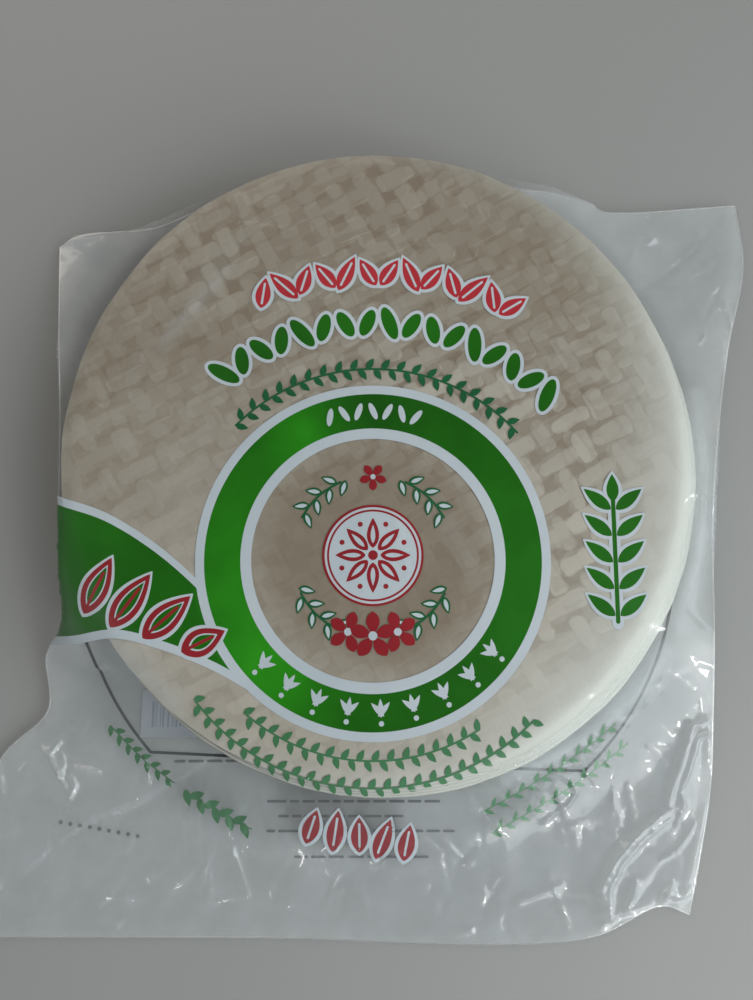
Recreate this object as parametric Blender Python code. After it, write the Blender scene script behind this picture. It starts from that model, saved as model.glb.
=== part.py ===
"""A stack of round rice paper sheets lying in a clear sealed bag, as one closed solid.

Metres, +Z up. The bag lies on its back. The origin is on its underside, below the centre
of the top sheet. -Y points to the bag's slack end, +Y to the end that the stack fills.

The solid is the pack's outer form: the flat round top, the upper film falling from the
rim of the stack to the bag's seams, the lower film rising to them beside the stack, and
the slack flap with its folds.
"""

import math

import bmesh
import bpy
from mathutils import Vector

# Driving dimensions
SHEET_RADIUS = 0.110
STACK_HEIGHT = 0.0245
FILM_SKIN = 0.0003
RIM_ROUND = 0.0016
SEAM_THICKNESS = 0.0012
TOP_MARGIN = 0.005
TOP_SEAM_HEIGHT = 0.0100

# The sheets have slid a little: the lowest one lies this far from the top one
BASE_SHIFT = (0.0040, -0.0045)

# The film falls steeply over this distance, and lies slack beyond it
FALL_REACH = 0.036
TIGHT_MARGIN = 0.015
SLACK_MARGIN = 0.045
TIGHT_POWER = 1.15
SLACK_POWER = 2.0
UNDER_POWER = 1.3

# Corners of the bag as (x, y, height of its seam). The bag is 0.263 wide when empty.
TOP_RIGHT = (0.1417, 0.1032, 0.0026)
BOTTOM_RIGHT = (0.1088, -0.1585, 0.0020)
BOTTOM_LEFT = (-0.1490, -0.1660, 0.0014)
TOP_LEFT = (-0.1231, 0.0857, 0.0026)

# Between those corners the seams bow and step. The left one hugs the stack, half way up
# its side, and opens out again below it.
RIGHT_SEAM = [
    (0.1428, 0.0782, 0.0035),
    (0.1325, 0.0400, 0.0065),
    (0.1225, -0.0155, 0.0100),
    (0.1206, -0.0648, 0.0080),
    (0.1198, -0.0936, 0.0045),
    (0.1182, -0.1172, 0.0026),
]
BOTTOM_SEAM = [
    (0.0992, -0.1556, 0.0022),
    (0.0738, -0.1663, 0.0014),
    (-0.0430, -0.1663, 0.0013),
]
LEFT_SEAM = [
    (-0.1331, -0.1069, 0.0024),
    (-0.1167, -0.0895, 0.0036),
    (-0.1180, -0.0706, 0.0046),
    (-0.1120, -0.0580, 0.0070),
    (-0.1137, -0.0379, 0.0090),
    (-0.1160, 0.0150, 0.0100),
    (-0.1190, 0.0456, 0.0080),
]
LEFT_EAR = [(-0.1170, 0.0900, 0.0030), (-0.0850, 0.0920, 0.0065)]
RIGHT_EAR = [(0.0715, 0.1060, 0.0065), (0.0848, 0.1028, 0.0048), (0.0886, 0.1003, 0.0040)]

# Fine waves of the slack film: height, waves round the bag, and their turn per metre
WAVE_HEIGHT = 0.0007
WAVES_AROUND = 17
WAVE_TURN = 55.0

# Folds that stand up from the slack film: start, end, height, half width
FOLDS = [
    ((0.1160, -0.0930), (0.1040, -0.1220), 0.0050, 0.0080),
    ((0.1035, -0.1230), (0.0840, -0.1390), 0.0045, 0.0080),
    ((0.0840, -0.1390), (0.0775, -0.1520), 0.0040, 0.0080),
    ((0.1180, -0.1160), (0.1090, -0.1460), 0.0040, 0.0070),
    ((0.1010, -0.1540), (0.0790, -0.1590), 0.0030, 0.0070),
    ((-0.1180, -0.0990), (-0.1080, -0.1150), 0.0035, 0.0080),
    ((-0.1075, -0.1090), (-0.0960, -0.1110), 0.0030, 0.0070),
    ((-0.0510, -0.1350), (-0.0430, -0.1560), 0.0022, 0.0090),
    ((0.0290, -0.1600), (0.0680, -0.1470), 0.0025, 0.0080),
]

# Mesh density
OUTLINE_STEP = 0.0075
TOP_RINGS = [0.28, 0.55, 0.78, 0.93]
RIM_TURNS = [0.0, 30.0, 60.0]
FALL_STEPS = [0.14, 0.30, 0.48, 0.70, 1.0]
FLAP_STEPS = [0.5, 1.0]
UNDER_STEPS = [0.5, 0.0]
NARROW_CROWDING = 1.2

MATERIAL_COLOR = (0.55, 0.52, 0.45, 1.0)
MATERIAL_ROUGHNESS = 0.35

TOP_Z = STACK_HEIGHT + FILM_SKIN


def clear_scene():
    for item in list(bpy.data.objects):
        bpy.data.objects.remove(item, do_unlink=True)


def point_at(radius, degrees):
    """A point at that distance and direction from the stack's centre."""
    turn = math.radians(degrees)
    return (radius * math.cos(turn), radius * math.sin(turn))


def direction_of(point):
    return math.degrees(math.atan2(point[1], point[0]))


def arc_over_stack():
    """The bag's filled end, where its seam follows the stack between the two ears."""
    start = LEFT_EAR[-1]
    end = RIGHT_EAR[0]
    first = direction_of(start)
    last = direction_of(end)
    steps = 8
    arc = []
    for index in range(1, steps):
        share = index / steps
        nearness = (2 * share - 1) ** 4
        ends = math.hypot(*start[:2]) * (1 - share) + math.hypot(*end[:2]) * share
        radius = (SHEET_RADIUS + TOP_MARGIN) * (1 - nearness) + ends * nearness
        height = TOP_SEAM_HEIGHT * (1 - nearness) + start[2] * nearness
        x, y = point_at(radius, first + (last - first) * share)
        arc.append((x, y, height))
    return arc


def bag_corners():
    """The bag's outline as a closed list of points, clockwise from the top right corner."""
    right = [TOP_RIGHT, *RIGHT_SEAM]
    bottom = [BOTTOM_RIGHT, *BOTTOM_SEAM]
    left = [BOTTOM_LEFT, *LEFT_SEAM]
    top = [TOP_LEFT, *LEFT_EAR, *arc_over_stack(), *RIGHT_EAR]
    return right + bottom + left + top


def outline_points():
    """The outline cut into even steps, counter-clockwise, with every corner kept."""
    corners = list(reversed(bag_corners()))
    points = []
    for start, end in zip(corners, corners[1:] + corners[:1]):
        steps = max(1, round(math.dist(start, end) / OUTLINE_STEP))
        for index in range(steps):
            points.append(Vector(start).lerp(Vector(end), index / steps))
    return points


def fold_height(x, y):
    """How far the folds lift the film at a place."""
    lift = 0.0
    here = Vector((x, y))
    for start, end, height, half_width in FOLDS:
        a = Vector(start)
        along = Vector(end) - a
        share = min(1.0, max(0.0, (here - a).dot(along) / along.length_squared))
        away = (here - a - along * share).length
        lift = max(lift, height * max(0.0, 1.0 - away / half_width))
    return lift


def film_height(x, y, distance, margin, seam):
    """Height of the upper film at a distance outside the stack's rim."""
    reach = min(margin, FALL_REACH)
    slackness = (margin - TIGHT_MARGIN) / (SLACK_MARGIN - TIGHT_MARGIN)
    slackness = min(1.0, max(0.0, slackness))
    power = TIGHT_POWER + (SLACK_POWER - TIGHT_POWER) * slackness
    fall = (1.0 - min(1.0, distance / reach)) ** power
    around = math.atan2(y, x)
    wave = WAVE_HEIGHT * math.sin(WAVES_AROUND * around + WAVE_TURN * distance)
    low = seam + (wave + fold_height(x, y)) * slackness
    return low + (TOP_Z - RIM_ROUND - low) * fall


def distances_outside(margin):
    """Steps outwards from the rim: over the falling film, then over the slack flap."""
    reach = min(margin, FALL_REACH)
    if margin - reach < OUTLINE_STEP:
        count = len(FALL_STEPS) + len(FLAP_STEPS)
        return [margin * ((index + 1) / count) ** NARROW_CROWDING for index in range(count)]
    falling = [reach * step for step in FALL_STEPS]
    slack = [reach + (margin - reach) * step for step in FLAP_STEPS]
    return falling + slack


def upper_profile(end):
    """Points of the upper film along one ray, from the stack's centre to the seam."""
    length = math.hypot(end.x, end.y)
    ux = end.x / length
    uy = end.y / length
    inner = SHEET_RADIUS - RIM_ROUND
    profile = [(inner * share, TOP_Z) for share in TOP_RINGS]
    for turn in RIM_TURNS:
        angle = math.radians(turn)
        radius = inner + RIM_ROUND * math.sin(angle)
        profile.append((radius, TOP_Z - RIM_ROUND * (1 - math.cos(angle))))
    margin = length - SHEET_RADIUS
    for distance in distances_outside(margin):
        radius = SHEET_RADIUS + distance
        height = film_height(ux * radius, uy * radius, distance, margin, end.z)
        profile.append((radius, height))
    return [(ux * radius, uy * radius, height) for radius, height in profile]


def lower_profile(end):
    """Points of the lower film, from the seam inwards to the flat under the stack."""
    length = math.hypot(end.x, end.y)
    flat = Vector((end.x, end.y)) * (SHEET_RADIUS / length) + Vector(BASE_SHIFT)
    seam = Vector((end.x, end.y))
    low = max(0.0, end.z - SEAM_THICKNESS)
    points = [(seam.x, seam.y, low)]
    for share in UNDER_STEPS:
        place = flat.lerp(seam, share)
        points.append((place.x, place.y, low * share ** UNDER_POWER))
    return points


def build_pack_mesh():
    mesh = bmesh.new()
    profiles = [upper_profile(end) + lower_profile(end) for end in outline_points()]
    columns = [[mesh.verts.new(point) for point in profile] for profile in profiles]
    top_centre = mesh.verts.new((0.0, 0.0, TOP_Z))
    base_centre = mesh.verts.new((0.0, 0.0, 0.0))
    last = len(profiles[0]) - 1
    for column, following in zip(columns, columns[1:] + columns[:1]):
        mesh.faces.new((top_centre, column[0], following[0]))
        for ring in range(last):
            quad = (column[ring], column[ring + 1], following[ring + 1], following[ring])
            mesh.faces.new(quad)
        mesh.faces.new((base_centre, following[last], column[last]))
    bmesh.ops.triangulate(mesh, faces=mesh.faces[:])
    bmesh.ops.recalc_face_normals(mesh, faces=mesh.faces[:])
    return mesh


def pack_material():
    material = bpy.data.materials.new("rice_paper_in_film")
    material.use_nodes = True
    shader = material.node_tree.nodes["Principled BSDF"]
    shader.inputs["Base Color"].default_value = MATERIAL_COLOR
    shader.inputs["Roughness"].default_value = MATERIAL_ROUGHNESS
    shader.inputs["Metallic"].default_value = 0.0
    return material


def add_pack():
    shape = build_pack_mesh()
    data = bpy.data.meshes.new("rice_paper_pack")
    shape.to_mesh(data)
    shape.free()
    data.materials.append(pack_material())
    data.shade_smooth()
    data.set_sharp_from_angle(angle=math.radians(35))
    pack = bpy.data.objects.new("rice_paper_pack", data)
    bpy.context.scene.collection.objects.link(pack)
    return pack


def main():
    clear_scene()
    add_pack()


main()
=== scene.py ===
"""The looks of a stack of round rice paper sheets lying in a clear printed bag.

Shapes are worked out in millimetres and become meshes in metres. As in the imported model,
the origin is on the underside below the middle of the top sheet, +Z is up, and -Y points
to the slack end.
"""
import math

import bpy
import numpy as np
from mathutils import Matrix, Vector
from mathutils.geometry import delaunay_2d_cdt
from mathutils.kdtree import KDTree


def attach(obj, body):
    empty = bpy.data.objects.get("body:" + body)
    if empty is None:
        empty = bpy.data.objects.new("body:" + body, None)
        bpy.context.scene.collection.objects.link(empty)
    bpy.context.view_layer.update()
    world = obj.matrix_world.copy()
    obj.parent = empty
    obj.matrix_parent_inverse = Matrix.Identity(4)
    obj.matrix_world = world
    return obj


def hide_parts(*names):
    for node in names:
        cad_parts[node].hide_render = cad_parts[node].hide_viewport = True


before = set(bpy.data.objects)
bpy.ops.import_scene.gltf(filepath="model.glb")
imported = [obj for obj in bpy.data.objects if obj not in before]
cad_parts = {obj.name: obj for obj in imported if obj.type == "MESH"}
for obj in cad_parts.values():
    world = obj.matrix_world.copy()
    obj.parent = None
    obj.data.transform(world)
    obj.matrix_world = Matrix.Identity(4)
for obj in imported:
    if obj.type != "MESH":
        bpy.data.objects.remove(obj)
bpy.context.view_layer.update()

PACK = "rice_paper_pack"
MM = 0.001

# ---- the pack's sizes, in mm. A seam's points are x, y and height.

SHEET_RADIUS = 110.0
SHEET_OVAL = (0.991, 1.016)
STACK_HEIGHT = 24.5
FILM_SKIN = 0.3
RIM_ROUND = 0.9
RIM_SOFT = 6.0
TOP_Z = STACK_HEIGHT + FILM_SKIN
TOP_MARGIN = 5.0
TOP_SEAM_HEIGHT = 10.0
BASE_SHIFT = (4.0, -4.5)
FALL_REACH = 36.0
TIGHT_MARGIN = 15.0
SLACK_MARGIN = 45.0
TIGHT_POWER = 0.40
SLACK_POWER = 2.0
UNDER_POWER = 1.3

# The upper sheets have slid back a little, and the ones below them stick out to +X -Y
SLID_SHEETS = 4
SLID_SHIFT = (3.3, -3.4)
SLID_TOP = 21.8

TOP_RIGHT = (141.7, 103.2, 2.6)
BOTTOM_RIGHT = (108.8, -158.5, 2)
BOTTOM_LEFT = (-149, -166, 1.4)
TOP_LEFT = (-123.1, 85.7, 2.6)
RIGHT_SEAM = [
    (142.8, 78.2, 3.5), (132.5, 40, 6.5), (122.5, -15.5, 10),
    (120.6, -64.8, 8), (119.8, -93.6, 4.5), (118.2, -117.2, 2.6),
]
BOTTOM_SEAM = [(99.2, -155.6, 2.2), (73.8, -166.3, 1.4), (-43, -166.3, 1.3)]
LEFT_SEAM = [
    (-133.1, -106.9, 2.4), (-116.7, -89.5, 3.6), (-117.4, -70.6, 6), (-109.8, -58, 12.5),
    (-110.6, -37.9, 16.5), (-113.4, 15, 16), (-118.2, 45.6, 10),
]
LEFT_EAR = [(-117, 90, 3), (-85, 92, 6.5)]
RIGHT_EAR = [(71.5, 106, 6.5), (84.8, 102.8, 4.8), (88.6, 100.3, 4)]

OUTLINE_STEP = 0.9
ARC_STEPS = 12
FLOOR_GAP = 0.08

MAT_LAYERS = ("first", "second", "third")
PRINT_BLUR = 0.5


# ---- small helpers


def smoothstep(value, low, high):
    share = np.clip((value - low) / (high - low), 0.0, 1.0)
    return share * share * (3.0 - 2.0 * share)


NOISE_CELLS = 64
NOISE_START = 1000.5


def value_noise(points, cell, seed):
    """Smooth random values in -1..1 that change over about one cell."""
    table = np.random.default_rng(seed).uniform(-1.0, 1.0, (NOISE_CELLS, NOISE_CELLS))
    place = points[:, :2] / cell + NOISE_START
    corner = np.floor(place).astype(int)
    share = place - corner
    share = share * share * (3.0 - 2.0 * share)
    x, y = share.T
    i, j = (corner % NOISE_CELLS).T
    i_next, j_next = (i + 1) % NOISE_CELLS, (j + 1) % NOISE_CELLS
    near = table[i, j] * (1 - x) + table[i_next, j] * x
    far = table[i, j_next] * (1 - x) + table[i_next, j_next] * x
    return near * (1 - y) + far * y


def layered_noise(points, *layers):
    """Several smooth random values added up: each one's height, size and seed."""
    return sum(height * value_noise(points, cell, seed) for height, cell, seed in layers)


def turned(points, degrees):
    turn = math.radians(degrees)
    c, s = math.cos(turn), math.sin(turn)
    x, y = points[:, 0], points[:, 1]
    return np.column_stack((x * c - y * s, x * s + y * c))


def polar(centre, radius, degrees):
    turn = math.radians(degrees)
    return (centre[0] + radius * math.cos(turn), centre[1] + radius * math.sin(turn))


def beyond_rim(points, shift=(0.0, 0.0)):
    """How far places lie outside the rim of a sheet, whose outline is a little oval."""
    x = (points[:, 0] - shift[0]) / SHEET_OVAL[0]
    y = (points[:, 1] - shift[1]) / SHEET_OVAL[1]
    return np.hypot(x, y) - SHEET_RADIUS


def rim_drop(away):
    """How far the film and the sheets bend down towards their rim."""
    return RIM_ROUND * np.clip(1.0 + away / RIM_SOFT, 0.0, 1.0) ** 2


def smooth_highest(a, b, reach):
    """The higher of two heights, with the valley between them rounded out."""
    return np.maximum(a, b) + np.clip(reach - np.abs(a - b), 0.0, None) ** 2 / (4.0 * reach)


def smooth_run(points, step):
    """A smooth curve through the points (centripetal Catmull-Rom), cut into even steps."""
    control = [np.array(p, float) for p in points]
    control = [2 * control[0] - control[1], *control, 2 * control[-1] - control[-2]]
    run = []
    for p0, p1, p2, p3 in zip(control, control[1:], control[2:], control[3:]):
        k1 = math.sqrt(np.linalg.norm(p1 - p0))
        k2 = k1 + math.sqrt(np.linalg.norm(p2 - p1))
        k3 = k2 + math.sqrt(np.linalg.norm(p3 - p2))
        count = max(1, round(float(np.linalg.norm(p2 - p1)) / step))
        for k in np.linspace(k1, k2, count, endpoint=False):
            a1 = p0 + (p1 - p0) * k / k1
            a2 = p1 + (p2 - p1) * (k - k1) / (k2 - k1)
            a3 = p2 + (p3 - p2) * (k - k2) / (k3 - k2)
            b1 = a1 + (a2 - a1) * k / k2
            b2 = a2 + (a3 - a2) * (k - k1) / (k3 - k1)
            run.append(b1 + (b2 - b1) * (k - k1) / (k2 - k1))
    run.append(control[-2])
    return run


def inside_loop(points, loop):
    """Which points lie inside a closed loop, by the even-odd rule."""
    inside = np.zeros(len(points), bool)
    low, high = loop.min(axis=0), loop.max(axis=0)
    near = np.flatnonzero(np.all((points >= low) & (points <= high), axis=1))
    near = near[np.argsort(points[near, 1])]
    x, y = points[near, 0], points[near, 1]
    hit = np.zeros(len(near), bool)
    following = np.roll(loop, -1, axis=0)
    first = np.searchsorted(y, np.minimum(loop[:, 1], following[:, 1]))
    last = np.searchsorted(y, np.maximum(loop[:, 1], following[:, 1]))
    for (x0, y0), (x1, y1), i, j in zip(loop, following, first, last):
        if j > i:
            hit[i:j] ^= x[i:j] < x0 + (y[i:j] - y0) * (x1 - x0) / (y1 - y0)
    inside[near] = hit
    return inside


def honeycomb(low, high, pitch):
    """Evenly spread points over a box."""
    rows = np.arange(low[1], high[1], pitch * math.sqrt(3) / 2)
    columns = np.arange(low[0], high[0], pitch)
    grid = []
    for i, y in enumerate(rows):
        x = columns + (i % 2) * pitch / 2
        grid.append(np.column_stack((x, np.full(len(x), y))))
    return np.concatenate(grid)


def tree_of(points):
    tree = KDTree(len(points))
    for index, (x, y) in enumerate(points[:, :2]):
        tree.insert((x, y, 0.0), index)
    tree.balance()
    return tree


def away_from(points, others, distance):
    """The points that keep a distance from all the others."""
    tree = tree_of(others)
    keep = [tree.find((x, y, 0.0))[2] > distance for x, y in points]
    return points[np.array(keep)]


# Points of a flat mesh that are closer than this, in mm, become one
MERGED_WITHIN = 0.001


def flat_mesh(loops, runs, points):
    """Triangles over all the points, with the lines of the loops and runs kept as edges."""
    places = []
    edges = []
    for line, closed in [(loop, True) for loop in loops] + [(run, False) for run in runs]:
        start = len(places)
        places.extend(Vector((float(x), float(y))) for x, y in line)
        edges.extend((i, i + 1) for i in range(start, len(places) - 1))
        if closed:
            edges.append((len(places) - 1, start))
    places.extend(Vector((float(x), float(y))) for x, y in points)
    found = delaunay_2d_cdt(places, edges, [], 0, MERGED_WITHIN, False)
    return np.array([tuple(p) for p in found[0]]), np.array([tuple(f) for f in found[2]])


def place_in_scene(name, data):
    item = bpy.data.objects.new(name, data)
    bpy.context.scene.collection.objects.link(item)
    return item


def add_piece(name, points, faces, material, slot, **values):
    """A piece from points in mm; values become point attributes for its material."""
    data = bpy.data.meshes.new(name)
    data.from_pydata((np.asarray(points) * MM).tolist(), [], [tuple(face) for face in faces])
    for label, numbers in values.items():
        layer = data.attributes.new(label, "FLOAT", "POINT")
        layer.data.foreach_set("value", np.asarray(numbers, np.float32))
    data.materials.append(material)
    data.shade_smooth()
    piece = place_in_scene(name, data)
    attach(piece, "root")
    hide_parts(PACK)
    return piece


def only(points, faces):
    """The points that the faces use, and the faces renumbered to match."""
    used = np.unique(faces)
    number = np.zeros(len(points), int)
    number[used] = np.arange(len(used))
    return points[used], number[faces]


# ---- materials


BUMP_DEPTH = 0.0002
WHITE = (1.0, 1.0, 1.0, 1.0)


class Nodes:
    """The nodes of a new material or world, and short ways to add and join them."""

    def __init__(self, owner, output="ShaderNodeOutputMaterial"):
        owner.use_nodes = True
        self.owner = owner
        self.tree = owner.node_tree
        self.tree.nodes.clear()
        self.out = self.add(output)

    def add(self, kind, inputs=None, **settings):
        node = self.tree.nodes.new(kind)
        for key, value in settings.items():
            setattr(node, key, value)
        for key, value in (inputs or {}).items():
            if isinstance(value, bpy.types.NodeSocket):
                self.tree.links.new(value, node.inputs[key])
            else:
                node.inputs[key].default_value = value
        return node

    def value(self, name):
        return self.add("ShaderNodeAttribute", attribute_name=name).outputs["Fac"]

    def math(self, operation, a, b=0.0, c=0.0, clamp=False):
        node = self.add("ShaderNodeMath", {0: a, 1: b, 2: c}, operation=operation, use_clamp=clamp)
        return node.outputs[0]

    def noise(self, scale, detail=3.0, roughness=0.55):
        place = self.add("ShaderNodeTexCoord").outputs["Object"]
        inputs = {"Vector": place, "Scale": scale, "Detail": detail, "Roughness": roughness}
        return self.add("ShaderNodeTexNoise", inputs).outputs["Fac"]

    def ramp(self, factor, *stops):
        node = self.add("ShaderNodeValToRGB", {"Fac": factor})
        points = node.color_ramp.elements
        while len(points) < len(stops):
            points.new(0.5)
        for point, (place, colour) in zip(points, stops):
            point.position = place
            point.color = (*colour, 1.0)
        return node.outputs["Color"]

    def blend(self, factor, a, b):
        node = self.add("ShaderNodeMixShader", {0: factor, 1: a, 2: b})
        return node.outputs[0]

    def bump(self, strength, height):
        inputs = {"Strength": strength, "Distance": BUMP_DEPTH, "Height": height}
        return self.add("ShaderNodeBump", inputs).outputs[0]

    def finish(self, shader):
        self.tree.links.new(shader, self.out.inputs["Surface"])
        return self.owner

    def finish_opaque(self, colour, roughness, specular, normal=None):
        inputs = {"Base Color": colour, "Roughness": roughness, "Specular IOR Level": specular}
        if normal:
            inputs["Normal"] = normal
        return self.finish(self.add("ShaderNodeBsdfPrincipled", inputs).outputs[0])


# The film's sharp and blurred gloss, how much of it is blurred, and its gloss at a low angle
FILM_ROUGHNESS = (0.05, 0.30)
FILM_BLUR = 0.7
STEEP_GLOSS = 0.35


def film_material(name, gloss, haze_tint):
    """Clear film: see-through, glossy by its angle, with a milky haze where it is creased and pale
    streaks of painted reflection laid into that haze.
    """
    n = Nodes(bpy.data.materials.new(name))
    clear = n.add("ShaderNodeBsdfTransparent").outputs[0]
    lobes = []
    for roughness in FILM_ROUGHNESS:
        lobe = n.add("ShaderNodeBsdfGlossy", {"Color": WHITE, "Roughness": roughness})
        lobes.append(lobe.outputs[0])
    glossy = n.blend(FILM_BLUR, *lobes)
    slant = n.add("ShaderNodeLayerWeight", {"Blend": 0.5}).outputs["Facing"]
    steep = n.math("MULTIPLY", n.math("POWER", slant, 5.0), STEEP_GLOSS)
    mirrored = n.math("MULTIPLY", n.math("ADD", steep, gloss), n.value("shine"), clamp=True)
    reflecting = n.blend(mirrored, clear, glossy)
    pale_diffuse = n.add("ShaderNodeBsdfDiffuse", {"Color": haze_tint}).outputs[0]
    patchy = n.math("MULTIPLY_ADD", n.noise(60.0, 3.0), 0.8, 0.6)
    haze_and_reflection_share = n.math("MULTIPLY", n.value("haze"), patchy, clamp=True)
    return n.finish(n.blend(haze_and_reflection_share, reflecting, pale_diffuse))


def ink_material(name, dark, light, brightened=False):
    """Printing ink on film, a little uneven where it was laid down."""
    n = Nodes(bpy.data.materials.new(name))
    colour = n.ramp(n.noise(22.0, 4.0), (0.35, dark), (0.65, light))
    # A brightness attribute scales the colour: on the green ink it is painted light and shade, on
    # the red a brighter row over the ring.
    if brightened:
        brightness_scaled = {0: colour, "Scale": n.value("ink_brightness")}
        colour = n.add("ShaderNodeVectorMath", brightness_scaled, operation="SCALE").outputs[0]
    return n.finish_opaque(colour, 0.32, 0.25, n.bump(0.15, n.noise(900.0, 2.0)))


# Rice paper from thin to thick, and at its pale rim
PAPER_TONES = [
    (0.0, (0.25, 0.205, 0.15)),
    (0.45, (0.42, 0.385, 0.325)),
    (1.0, (0.66, 0.63, 0.55)),
]
RIM_COLOUR = (0.68, 0.73, 0.69, 1.0)


def paper_material():
    """Rice paper: cream where it is thick, brown grey in the mat's gaps, whiter at its rim, partly
    from painted light.

    Each of the three mat prints that show comes with its distance inside the print's edge, in
    mm, and with how much paler it makes the paper there.
    """
    n = Nodes(bpy.data.materials.new("rice_paper"))
    tone = n.math("MULTIPLY_ADD", n.noise(420.0, 5.0, 0.65), 0.14, -0.07)
    tone = n.math("ADD", n.value("tone"), tone)
    for layer in MAT_LAYERS:
        cover = n.math("MULTIPLY_ADD", n.value(layer + "_edge"), 1.0 / PRINT_BLUR, 0.5, clamp=True)
        tone = n.math("MULTIPLY_ADD", cover, n.value(layer + "_gain"), tone, clamp=True)
        if layer == MAT_LAYERS[0]:
            edge_line = n.math("MULTIPLY", n.math("SUBTRACT", 1.0, cover), cover)
            # The line along the float edges that face the lower right is a painted highlight in the
            # paper's colour, and a raised lip in its bump.
            lip_and_highlight = n.math("MULTIPLY", edge_line, n.value("lip_and_highlight"))
            tone = n.math("MULTIPLY_ADD", lip_and_highlight, 0.55, tone)
            stepped = n.math("MULTIPLY_ADD", cover, n.value("pressed"), n.noise(700.0, 3.0))
            stepped = n.math("MULTIPLY_ADD", lip_and_highlight, 3.0, stepped)
    mix = {"Factor": n.value("rim"), 6: n.ramp(tone, *PAPER_TONES), 7: RIM_COLOUR}
    colour = n.add("ShaderNodeMix", mix, data_type="RGBA").outputs[2]
    return n.finish_opaque(colour, 0.5, 0.35, n.bump(0.5, stepped))


def floor_material():
    n = Nodes(bpy.data.materials.new("pale_floor"))
    colour = n.ramp(n.noise(3.0, 2.0), (0.3, (0.33, 0.335, 0.33)), (0.7, (0.35, 0.355, 0.35)))
    return n.finish_opaque(colour, 0.6, 0.5)


# ---- the bag's form


def arc_over_stack():
    """The bag's filled end, where its seam follows the stack between the two ears."""
    start, end = LEFT_EAR[-1], RIGHT_EAR[0]
    first = math.atan2(start[1], start[0])
    last = math.atan2(end[1], end[0])
    arc = []
    for share in np.arange(1, ARC_STEPS) / ARC_STEPS:
        nearness = (2 * share - 1) ** 4
        ends = math.hypot(*start[:2]) * (1 - share) + math.hypot(*end[:2]) * share
        radius = (SHEET_RADIUS + TOP_MARGIN) * (1 - nearness) + ends * nearness
        height = TOP_SEAM_HEIGHT * (1 - nearness) + start[2] * nearness
        turn = first + (last - first) * share
        arc.append((radius * math.cos(turn), radius * math.sin(turn), height))
    return arc


def bag_outline():
    """The bag's welded edge as one closed row of points: smooth sides between sharp corners."""
    sides = [
        [TOP_RIGHT, *RIGHT_SEAM, BOTTOM_RIGHT],
        [BOTTOM_RIGHT, *BOTTOM_SEAM, BOTTOM_LEFT],
        [BOTTOM_LEFT, *LEFT_SEAM, TOP_LEFT],
        [TOP_LEFT, *LEFT_EAR, *arc_over_stack(), *RIGHT_EAR, TOP_RIGHT],
    ]
    return np.array([point for side in sides for point in smooth_run(side, OUTLINE_STEP)[:-1]])


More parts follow.
